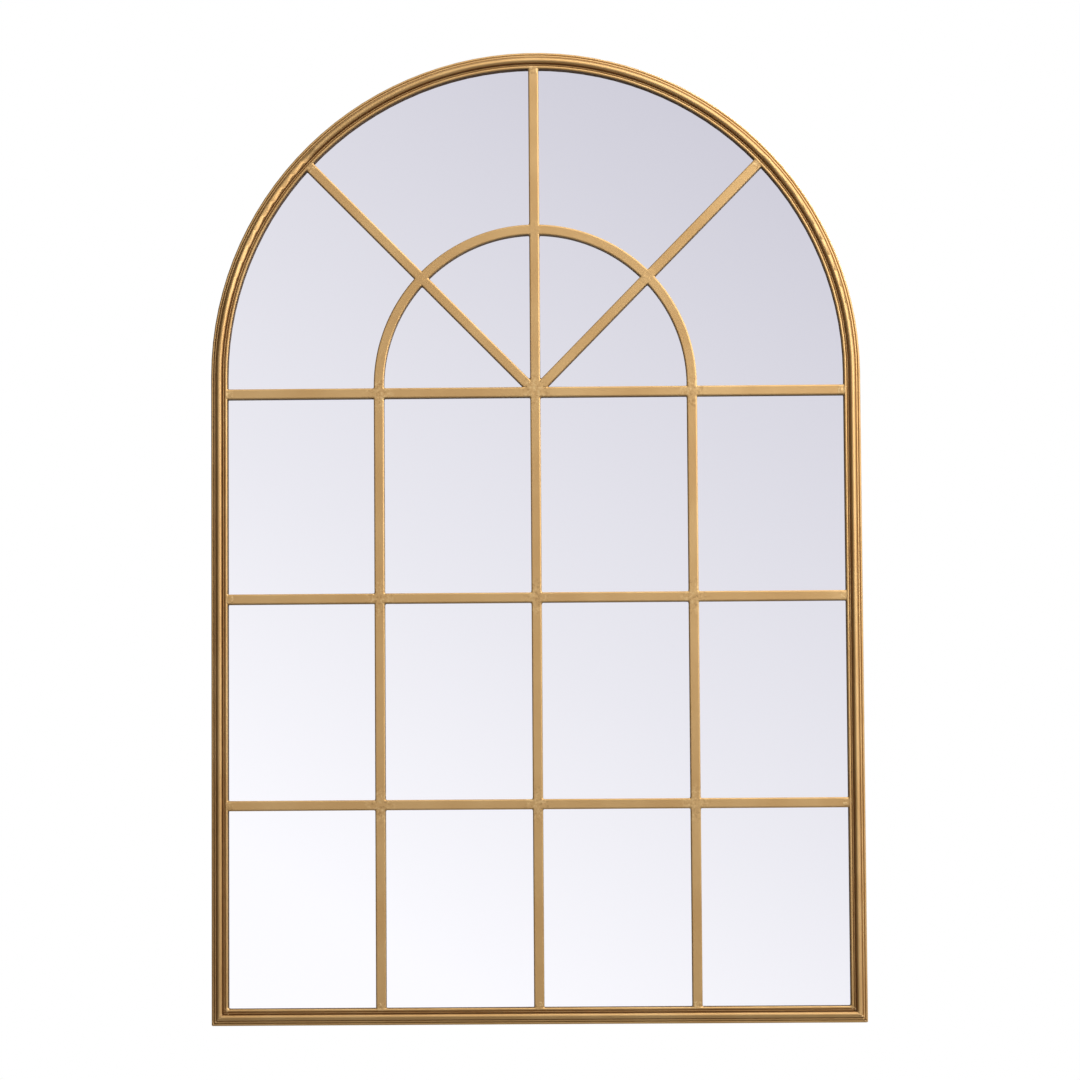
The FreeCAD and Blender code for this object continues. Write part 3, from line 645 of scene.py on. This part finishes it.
def scatter_tree(name, along):
    """Geometry nodes that set a template on points, or at even steps along edges"""
    tree = bpy.data.node_groups.new(name, "GeometryNodeTree")
    face = tree.interface
    face.new_socket("Geometry", in_out="INPUT", socket_type="NodeSocketGeometry")
    sockets = {}
    for label, kind in (("Template", "Object"), ("Step", "Float"), ("Least size", "Float"), ("Seed", "Int"),
                        ("Finish", "Material")):
        sockets[label] = face.new_socket(label, in_out="INPUT", socket_type="NodeSocket" + kind).identifier
    face.new_socket("Geometry", in_out="OUTPUT", socket_type="NodeSocketGeometry")

    def add(kind, settings=None, **links):
        node = tree.nodes.new(kind)
        for setting, choice in (settings or {}).items():
            setattr(node, setting, choice)
        for label, source in links.items():
            target = node.inputs[label.replace("_", " ")]
            if isinstance(source, bpy.types.NodeSocket):
                tree.links.new(source, target)
            else:
                target.default_value = source
        return node

    given = add("NodeGroupInput").outputs
    points = given["Geometry"]
    if along:
        curve = add("GeometryNodeMeshToCurve", Mesh=points).outputs["Curve"]
        sampled = add("GeometryNodeResampleCurve", {"mode": "LENGTH"}, Curve=curve, Length=given["Step"])
        dotted = add("GeometryNodeCurveToPoints", {"mode": "EVALUATED"}, Curve=sampled.outputs["Curve"])
        points = dotted.outputs["Points"]
    template = add("GeometryNodeObjectInfo", Object=given["Template"]).outputs["Geometry"]
    turn = add("FunctionNodeRandomValue", Seed=given["Seed"])
    turn.inputs[3].default_value = 2 * math.pi
    turned = add("ShaderNodeCombineXYZ", Y=turn.outputs[1]).outputs[0]
    size = add("FunctionNodeRandomValue", Seed=given["Seed"])
    tree.links.new(given["Least size"], size.inputs[2])
    set_out = add(
        "GeometryNodeInstanceOnPoints", Points=points, Instance=template, Rotation=turned,
        Scale=size.outputs[1])
    real = add("GeometryNodeRealizeInstances", Geometry=set_out.outputs["Instances"])
    dressed = add("GeometryNodeSetMaterial", Geometry=real.outputs["Geometry"], Material=given["Finish"])
    tree.links.new(dressed.outputs["Geometry"], add("NodeGroupOutput").inputs["Geometry"])
    return tree, sockets


def scattered(name, corners, edges, template, settings):
    """A plain riding piece made by setting a template over points or edges"""
    mesh = bpy.data.meshes.new(name + "_places")
    mesh.from_pydata(corners, edges, [])
    piece = new_object(name, mesh)
    tree, sockets = scatter_tree(name + "_nodes", bool(edges))
    spread = piece.modifiers.new("Scatter", "NODES")
    spread.node_group = tree
    spread[sockets["Template"]] = template
    for label, value in settings.items():
        spread[sockets[label]] = value
    plain = plain_mesh(piece, name)
    piece.modifiers.clear()
    piece.data = plain
    bpy.data.meshes.remove(mesh)
    bpy.data.objects.remove(template)
    if not plain.polygons:
        raise RuntimeError(name + " came out empty")
    for polygon in plain.polygons:
        polygon.use_smooth = True
    plain.set_sharp_from_angle(angle=SHARP_ANGLE)
    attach(piece, "root")
    return piece


def hole_place(name, seat):
    """Middle of the screw hole of a tab, on the back of the tab"""
    sizes = bpy.context.scene.screw_sizes
    low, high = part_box(name)
    middle = (low + high) / 2
    if "bottom" in name:
        return (middle.x, seat, low.z + sizes.hole_inset)
    side = 1 if low.x > 0 else -1
    if "arch" in name:
        turn = bpy.context.scene.weld_sizes.arch_tab_angle
        radius = sizes.arch_hole_radius
        return (side * math.cos(turn) * radius, seat, ARCH_CENTRE + math.sin(turn) * radius)
    outer = high.x if side > 0 else -low.x
    return (side * (outer - sizes.hole_inset), seat, middle.z)


def lathe(shape, profile, steps, crest):
    """Adds a closed turned body about Y; its threaded rings follow the crest's height and pitch"""
    rings = []
    for height, radius, threaded in profile:
        ring = []
        for k in range(steps):
            turn = 2 * math.pi * k / steps
            wide = radius
            if threaded:
                wave = abs(((height / crest[1] - k / steps) % 1.0) * 2 - 1)
                wide = radius + crest[0] * max(0.0, 2 * wave - 1)
            ring.append(shape.verts.new((wide * math.cos(turn), height, wide * math.sin(turn))))
        rings.append(ring)
    for first, second in zip(rings, rings[1:]):
        for k in range(steps):
            shape.faces.new((first[k], first[(k + 1) % steps], second[(k + 1) % steps], second[k]))
    shape.faces.new(rings[0][::-1])
    shape.faces.new(rings[-1])
    bmesh.ops.recalc_face_normals(shape, faces=shape.faces)


def area_lamp(name, place, size, power):
    lamp = bpy.data.lights.new(name, "AREA")
    lamp.size = size
    lamp.energy = power
    holder = new_object(name, lamp)
    holder.location = place
    holder.rotation_euler = (LAMP_TARGET - Vector(place)).to_track_quat("-Z", "Y").to_euler()


class MIRROR_OT_stage(bpy.types.Operator):
    """Sets the camera, the lamps, the world and the pale floor"""
    bl_idname = "window_mirror.stage"
    bl_label = "Studio"

    def execute(self, context):
        scene = context.scene
        studio = scene.mirror_studio
        scene.view_settings.view_transform = "Standard"
        # Camera at the photograph's angle
        target = Vector(studio.target)
        flat = math.cos(studio.elevation)
        away = Vector((
            math.sin(studio.azimuth) * flat, -math.cos(studio.azimuth) * flat, math.sin(studio.elevation)))
        right = (-away).cross(Vector((0, 0, 1))).normalized()
        up = right.cross(-away).normalized()
        turned = right * math.cos(studio.roll) + up * math.sin(studio.roll)
        raised = up * math.cos(studio.roll) - right * math.sin(studio.roll)
        lens = bpy.data.cameras.new("camera")
        lens.lens = studio.lens
        lens.sensor_width = 36
        camera = new_object("camera", lens)
        camera.matrix_world = Matrix.Translation(target + away * studio.distance) @ Matrix(
            (turned, raised, away)).transposed().to_4x4()
        scene.camera = camera
        # Soft lamps, most of them above the mirror and on its right
        for lamp in LAMPS:
            area_lamp(*lamp)
        # World: white to the camera, a soft studio in glass and metal, plain room light for the rest
        world = bpy.data.worlds.new("studio")
        world.use_nodes = True
        scene.world = world
        mix = Recipe(world.node_tree)
        x, y, z = mix.split(mix.node("ShaderNodeTexCoord", out="Generated"))
        tone = 0.5 + x * FRONT_SLOPE[0] + z * FRONT_SLOPE[1]
        front = mix.node("ShaderNodeValToRGB", {"stops": FRONT_TONES}, {0: tone})
        dim = 0.0
        for way, strength in PATCHES:
            aim = Vector(way).normalized()
            toward = x * aim.x + y * aim.y + z * aim.z
            dim = toward.ramp(*PATCH_EDGE) * strength + dim
        dim = dim.most(y.ramp(*BEHIND) * (x * 0.8 + z).ramp(*BEHIND_TONE))
        off_axis = mix.length(x, z)
        ahead = y.ramp(*AHEAD)
        dim = dim.most(off_axis.ramp(*SKIRT_EDGE) * ahead * SKIRT)
        around = mix.node("ShaderNodeCombineXYZ", {}, [dim + low for low in SURROUNDINGS])
        cone = off_axis.ramp(*CONE_EDGE) * ahead
        seen = mix.blend(around, front, cone)
        plain = mix.blend(ROOM_LIGHT, seen, mix.node("ShaderNodeLightPath", out="Is Glossy Ray"))
        shown = mix.blend(plain, (1, 1, 1), mix.node("ShaderNodeLightPath", out="Is Camera Ray"))
        back = mix.node("ShaderNodeBackground", {}, {"Color": shown, "Strength": 1.0})
        mix.node("ShaderNodeOutputWorld", {}, {"Surface": back})
        # Floor under the hung mirror
        shape = bmesh.new()
        bmesh.ops.create_circle(shape, cap_ends=True, segments=96, radius=studio.floor_radius)
        bmesh.ops.translate(shape, verts=shape.verts, vec=(0, 0, -studio.floor_drop))
        mesh = new_mesh("floor", shape)
        material, mix, vector, (x, y, _) = new_finish("floor_plaster")
        pale = scene.mirror_finish.floor
        colour = mix.blend(pale, [part * 0.97 for part in pale], mix.noise(vector, PLASTER, 3))
        in_metal = mix.node("ShaderNodeLightPath", out="Is Glossy Ray") * FLOOR_IN_METAL_SHARE
        shown = mix.node("ShaderNodeLightPath", out="Is Camera Ray") + in_metal
        colour = mix.blend([part * FLOOR_TO_LIGHT_SHARE for part in pale], colour, shown)
        rim = mix.length(x, y).ramp(*(studio.floor_radius * share for share in FLOOR_FADE_SHARES))
        glow = mix.blend((0, 0, 0), scene.mirror_finish.floor_glow, shown)
        close_finish(mix, {
            "Base Color": colour, "Roughness": 0.85, "Alpha": rim, "Emission Color": glow,
            "Emission Strength": 1.0})
        mesh.materials.append(material)
        floor = new_object("floor", mesh)
        return {"FINISHED"}


class MIRROR_OT_frame(bpy.types.Operator):
    """Paints the moulding, the band behind it and the glazing bars"""
    bl_idname = "window_mirror.frame"
    bl_label = "Frame paint"

    def execute(self, context):
        dress(["frame_hoop"], gold_paint("gold_hoop_paint", "hoop"))
        dress(["frame_sill"], gold_paint("gold_sill_paint", "sill"))
        band = gold_paint("gold_band_paint", lip_from=RIM_BACK)
        dress(["rim_hoop", "rim_sill"], band)
        bars = gold_paint("gold_bar_paint")
        dress([name for name in NODES if name.startswith("bar_")], bars)
        return {"FINISHED"}


class MIRROR_OT_welds(bpy.types.Operator):
    """Builds the ground welds where the bars meet each other and the frame"""
    bl_idname = "window_mirror.welds"
    bl_label = "Ground welds"

    def execute(self, context):
        sizes = context.scene.weld_sizes
        material = gold_paint("gold_weld_paint")
        end_paint = gold_paint("gold_end_weld_paint", lip_from=BEAD_LIP, all_ground_and_sheen=True)
        tall, wide = sizes.upright_reach, sizes.cross_reach
        up, down, left, right = Vector((0, 1)), Vector((0, -1)), Vector((-1, 0)), Vector((1, 0))
        sides = ((-1, right, "left"), (1, left, "right"))
        seed = 1
        # Crossings of the square grid
        for column, where in COLUMNS:
            for row, height in zip(("lower", "upper"), ROW_HEIGHTS):
                centre = Vector((column, height))
                arms = arms_from(centre, ((up, tall), (down, tall), (left, wide), (right, wide)))
                ground_weld(f"weld_{row}_{where}", centre, arms, [], seed, material)
                seed += 1
        # Feet of the inner half-round on the spring bar
        for side, where in ((-1, "left"), (1, "right")):
            centre = Vector((side * COLUMN, HUB_HEIGHT))
            arms = arms_from(centre, ((down, tall), (left, wide), (right, wide)))
            start = 0 if side > 0 else math.pi
            foot = fan_arc(start, side * tall / COLUMN * FAN_FOOT_SHARE, COLUMN, FAN_CENTRE)
            arms.append(([centre] + foot, tall))
            ground_weld(f"weld_spring_{where}", centre, arms, [], seed, material)
            seed += 1
        # Hub
        centre = Vector((0, HUB_HEIGHT))
        slants = [Vector((side * math.cos(SLANT), math.sin(SLANT))) for side in (-1, 1)]
        far, aside = tall * HUB_REACH_SHARE, wide * HUB_REACH_SHARE
        arms = arms_from(centre, (
            (up, far), (down, tall), (left, aside), (right, aside), (slants[0], far), (slants[1], far)))
        ground_weld("weld_hub", centre, arms, [], seed, material)
        # Inner half-round on the slanted bars and on the centre bar
        for way, where in ((slants[0], "left"), (slants[1], "right"), (up, "centre")):
            seed += 1
            centre = ring_meets(way, FAN_CENTRE, COLUMN)
            turn = math.atan2(centre.y - FAN_CENTRE, centre.x)
            arms = arms_from(centre, ((way, tall), (-way, tall)))
            for side in (-1, 1):
                arms.append((fan_arc(turn, side * wide / COLUMN, COLUMN, FAN_CENTRE), wide))
            ground_weld("weld_fan_" + where, centre, arms, [], seed, material)
        # Bar ends on the inner bead of the hoop
        bead_ring = OPENING_HALF + BEAD_RADIUS
        reach = sizes.bead_reach
        for way, where in ((slants[0], "slant_left"), (slants[1], "slant_right"), (up, "crown")):
            seed += 1
            edge = ring_meets(way, ARCH_CENTRE, OPENING_HALF)
            turn = math.atan2(edge.y - ARCH_CENTRE, edge.x)
            bead = fan_arc(turn - reach / bead_ring, 2 * reach / bead_ring, bead_ring, ARCH_CENTRE)
            end_weld("weld_end_" + where, edge, -way, bead, seed, end_paint)
        for side, way, where in sides:
            for row, height in zip(("lower", "upper", "spring"), ROW_HEIGHTS):
                seed += 1
                edge = Vector((side * OPENING_HALF, height))
                bead = straight(Vector((side * bead_ring, height - reach)), up, 2 * reach, 5)
                end_weld(f"weld_end_{row}_{where}", edge, way, bead, seed, end_paint)
        # Feet of the uprights on the sill
        for column, where in COLUMNS:
            seed += 1
            bead = straight(Vector((column - reach, SILL_TOP - BEAD_RADIUS)), right, 2 * reach, 5)
            end_weld("weld_foot_" + where, Vector((column, SILL_TOP)), up, bead, seed, end_paint)
        # Mitres of the inner bead
        for side, way, where in sides:
            seed += 1
            centre = Vector((side * bead_ring, SILL_TOP - BEAD_RADIUS))
            both = [(straight(centre, along, reach, 5), reach) for along in (up, way)]
            ground_weld("weld_mitre_" + where, centre, [], both, seed, end_paint, sizes.end_ripple)
        # Drops left along both mitres
        choose = random.Random(sizes.drop_seed)
        places = []
        for side in (-1, 1):
            for _ in range(sizes.drop_count):
                inward = choose.uniform(sizes.drop_spread, SILL_TOP - sizes.drop_radius)
                aside = choose.gauss(0, sizes.drop_spread)
                from_side = max(inward + aside, sizes.drop_radius)
                from_below = max(inward - aside, sizes.drop_radius)
                start = Vector((side * (HALF_WIDTH - from_side), RAY_START, from_below))
                for node in ("frame_hoop", "frame_sill"):
                    hit, place, _, _ = NODES[node].ray_cast(start, Vector((0, 1, 0)))
                    if hit:
                        places.append((place.x, max(place.y, FRAME_LOW.y + sizes.drop_height), place.z))
                        break
        shape = bmesh.new()
        bmesh.ops.create_icosphere(shape, subdivisions=2, radius=sizes.drop_radius)
        bmesh.ops.scale(shape, verts=shape.verts, vec=(1, sizes.drop_height / sizes.drop_radius, 1))
        drop = new_object("mitre_drop", new_mesh("mitre_drop", shape))
        # Drops in pale gold, as painted highlight
        drop_paint = gold_paint("gold_drop_paint", lip_from=BEAD_LIP, all_ground_and_sheen=True, base="gold_drop")
        scattered("weld_drops_mitre", places, [], drop, {
            "Least size": 0.35, "Seed": sizes.drop_seed, "Finish": drop_paint})
        return {"FINISHED"}


class MIRROR_OT_screws(bpy.types.Operator):
    """Sets the eight pan head screws with cross recess and thread in the tabs"""
    bl_idname = "window_mirror.screws"
    bl_label = "Tab screws"

    def execute(self, context):
        sizes = context.scene.screw_sizes
        low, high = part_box("tab_screws")
        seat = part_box("tab_left_lower")[0].y + sizes.tab_thickness
        tall = high.y - seat
        wide = sizes.head_radius
        shank_end = low.y - seat
        profile = [(tall * up, wide * out, False) for up, out in HEAD_SHARES]
        core = sizes.shank_radius - sizes.thread_height
        rings = round(-shank_end / sizes.thread_pitch * RINGS_PER_THREAD)
        for k in range(rings + 1):
            height = shank_end * k / rings
            taper = min(1.0, (rings - k) / TIP_RINGS + TIP_SHARE)
            profile.append((height - UNDER_HEAD, core * taper, 1 < k < rings - 3))
        shape = bmesh.new()
        lathe(shape, profile, TURNED_SIDES, (sizes.thread_height, sizes.thread_pitch))
        template = new_object("screw_template", new_mesh("screw_template", shape))
        shape = bmesh.new()
        for size in ((sizes.recess_width, sizes.recess_length), (sizes.recess_length, sizes.recess_width)):
            made = bmesh.ops.create_cube(shape, size=1)
            bmesh.ops.scale(shape, verts=made["verts"], vec=(size[0], 2 * sizes.recess_depth, size[1]))
            bmesh.ops.translate(shape, verts=made["verts"], vec=(0, tall, 0))
        cutter = new_object("recess_cutter", new_mesh("recess_cutter", shape))
        cut = template.modifiers.new("Recess", "BOOLEAN")
        cut.object = cutter
        cut.solver = "EXACT"
        cut.use_self = True
        whole = plain_mesh(template, "screw_whole")
        template.modifiers.clear()
        template.data = whole
        bpy.data.objects.remove(cutter)
        places = [hole_place(name, seat) for name in TABS]
        material = bpy.data.materials["zinc_plate"]
        piece = scattered("screws_cross_recess", places, [], template, {
            "Least size": 1.0, "Seed": 7, "Finish": material})
        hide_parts("tab_screws")
        return {"FINISHED"}


class MIRROR_OT_beads(bpy.types.Operator):
    """Lays the weld beads that hold the tabs, the plates and the corners of the band"""
    bl_idname = "window_mirror.beads"
    bl_label = "Weld beads behind"

    def execute(self, context):
        sizes = context.scene.weld_sizes
        shape = bmesh.new()
        bmesh.ops.create_icosphere(shape, subdivisions=2, radius=sizes.bead_radius)
        drop = new_object("drop_template", new_mesh("drop_template", shape))
        corners = []
        edges = []

        def line(start, end):
            edges.append((len(corners), len(corners) + 1))
            corners.extend((start, end))

        inner = HALF_WIDTH - sizes.band_inner
        inset = sizes.bead_radius * 0.5
        wall = inner - inset
        sill = sizes.band_inner + inset
        # Both ends of every tab, up the wall of the band
        for name in TABS:
            low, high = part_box(name)
            foot, top = low.y + sizes.bead_radius, high.y - sizes.bead_radius
            if "arch" in name:
                side = 1 if low.x > 0 else -1
                turn = sizes.arch_tab_angle
                swing = (sizes.tab_half + inset) / inner
                for way in (-swing, swing):
                    x = side * math.cos(turn + way) * wall
                    z = ARCH_CENTRE + math.sin(turn + way) * wall
                    line((x, foot, z), (x, top, z))
            elif "bottom" in name:
                for x in (low.x - inset, high.x + inset):
                    line((x, foot, sill), (x, top, sill))
            else:
                side = 1 if low.x > 0 else -1
                for z in (low.z - inset, high.z + inset):
                    line((side * wall, foot, z), (side * wall, top, z))
        for side, where in ((-1, "left"), (1, "right")):
            # Upper and lower edge of the hanging plate
            low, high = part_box("hanger_plate_" + where)
            middle = (low.y + high.y) / 2
            for z in (low.z - inset, high.z + inset):
                line((side * wall, middle, z), (side * (inner - sizes.plate_bead), middle, z))
            # Corner of the band
            line((side * wall, low.y - sizes.plate_bead / 2, sill),
                 (side * wall, RIM_BACK - sizes.bead_radius, sill))
        material, mix, vector, _ = new_finish("weld_steel")
        heat = mix.noise(vector, HEAT, 3, 0.6)
        colour = mix.blend(*WELD_TONES, heat.ramp(0.40, 0.65))
        close_finish(mix, {"Base Color": colour, "Metallic": 0.9, "Roughness": 0.35 + heat * 0.2})
        scattered("weld_beads_behind", corners, edges, drop, {
            "Step": sizes.bead_step, "Least size": 0.78, "Seed": 11, "Finish": material})
        return {"FINISHED"}


class MIRROR_OT_glass(bpy.types.Operator):
    """Silvers the glass"""
    bl_idname = "window_mirror.glass"
    bl_label = "Mirror glass"

    def execute(self, context):
        finish = context.scene.mirror_finish
        material, mix, vector, (_, y, _) = new_finish("silvered_glass")
        front = y.ramp(*GLASS_SKIN)
        haze = mix.noise(vector, HAZE, 3, 0.5)
        colour = mix.blend(GLASS_EDGE, finish.silver, front)
        close_finish(mix, {
            "Base Color": colour, "Metallic": 0.15 + front * 0.85,
            "Roughness": 0.012 + haze * 0.008 + (1 - front) * 0.2})
        dress(["mirror_glass"], material)
        return {"FINISHED"}


class MIRROR_OT_back(bpy.types.Operator):
    """Finishes the board, the tape, the tabs and the hanging plates"""
    bl_idname = "window_mirror.back"
    bl_label = "Back"

    def execute(self, context):
        finish = context.scene.mirror_finish
        # Fibre board
        material, mix, vector, _ = new_finish("fibre_board")
        cloud = mix.noise(vector, BOARD_CLOUD, 3)
        fibre = mix.noise(mix.stretched(vector, (1, 1, 0.35)), FIBRE, 4, 0.65, 1.2)
        chip = mix.noise(vector, CHIP, 4, 0.7, 0.5)
        pale = [part * 1.45 for part in finish.board]
        deep = [part * 0.55 for part in finish.board]
        colour = mix.blend(finish.board, pale, cloud.ramp(0.3, 0.75) * 0.5)
        colour = mix.blend(colour, deep, fibre.ramp(0.50, 0.30) * 0.55)
        colour = mix.blend(colour, pale, chip.ramp(0.58, 0.72) * 0.5)
        close_finish(mix, {
            "Base Color": colour, "Roughness": 0.72 + fibre * 0.15,
            "Normal": mix.bump(fibre + chip * 0.5, 0.5, FIBRE_HEIGHT)})
        dress(["back_board"], material)
        # Soft tape
        material, mix, vector, _ = new_finish("foam_tape")
        cell = mix.noise(vector, FOAM_CELL, 3, 0.6)
        close_finish(mix, {
            "Base Color": mix.blend(*FOAM_TONES, cell), "Roughness": 0.9,
            "Normal": mix.bump(cell, 0.5, CELL_HEIGHT)})
        dress(["glazing_tape"], material)
        # Zinc plated steel
        material, mix, vector, _ = new_finish("zinc_plate")
        spangle = mix.node("ShaderNodeTexVoronoi", {}, {"Vector": vector, "Scale": SPANGLE}, out="Color")
        grain = mix.split(spangle, "ShaderNodeSeparateColor")[0]
        rub = mix.noise(mix.stretched(vector, (1, 1, 0.1)), RUB, 3, 0.6)
        colour = mix.blend(*ZINC_TONES, grain)
        close_finish(mix, {
            "Base Color": colour, "Metallic": 0.95, "Roughness": 0.30 + rub * 0.18 + grain * 0.06,
            "Normal": mix.bump(rub, 0.2, RUB_HEIGHT)})
        dress([name for name in NODES if name.startswith(("tab_", "hanger_"))], material)
        return {"FINISHED"}


class MIRROR_PT_panel(bpy.types.Panel):
    """Lists the steps that dress the mirror"""
    bl_label = "Window mirror"
    bl_idname = "MIRROR_PT_panel"
    bl_space_type = "VIEW_3D"
    bl_region_type = "UI"
    bl_category = "Window mirror"

    def draw(self, context):
        for label in GROUPS:
            group = getattr(context.scene, label)
            box = self.layout.box()
            for name in group.__annotations__:
                box.prop(group, name)
        for step in STEPS:
            self.layout.operator(step.bl_idname)


STEPS = (
    MIRROR_OT_stage, MIRROR_OT_frame, MIRROR_OT_welds, MIRROR_OT_glass, MIRROR_OT_back, MIRROR_OT_screws,
    MIRROR_OT_beads)
GROUPS = {
    "weld_sizes": WeldSizes, "screw_sizes": ScrewSizes, "mirror_finish": Finish, "mirror_studio": StudioSizes}


def register():
    for group in (*GROUPS.values(), *STEPS, MIRROR_PT_panel):
        bpy.utils.register_class(group)
    for name, group in GROUPS.items():
        setattr(bpy.types.Scene, name, bpy.props.PointerProperty(type=group))


def unregister():
    for name in GROUPS:
        delattr(bpy.types.Scene, name)
    for group in (MIRROR_PT_panel, *reversed(STEPS), *reversed(list(GROUPS.values()))):
        bpy.utils.unregister_class(group)


def main():
    register()
    bpy.ops.window_mirror.stage()
    bpy.ops.window_mirror.frame()
    bpy.ops.window_mirror.welds()
    bpy.ops.window_mirror.glass()
    bpy.ops.window_mirror.back()
    bpy.ops.window_mirror.screws()
    bpy.ops.window_mirror.beads()


if __name__ == "__main__":
    main()
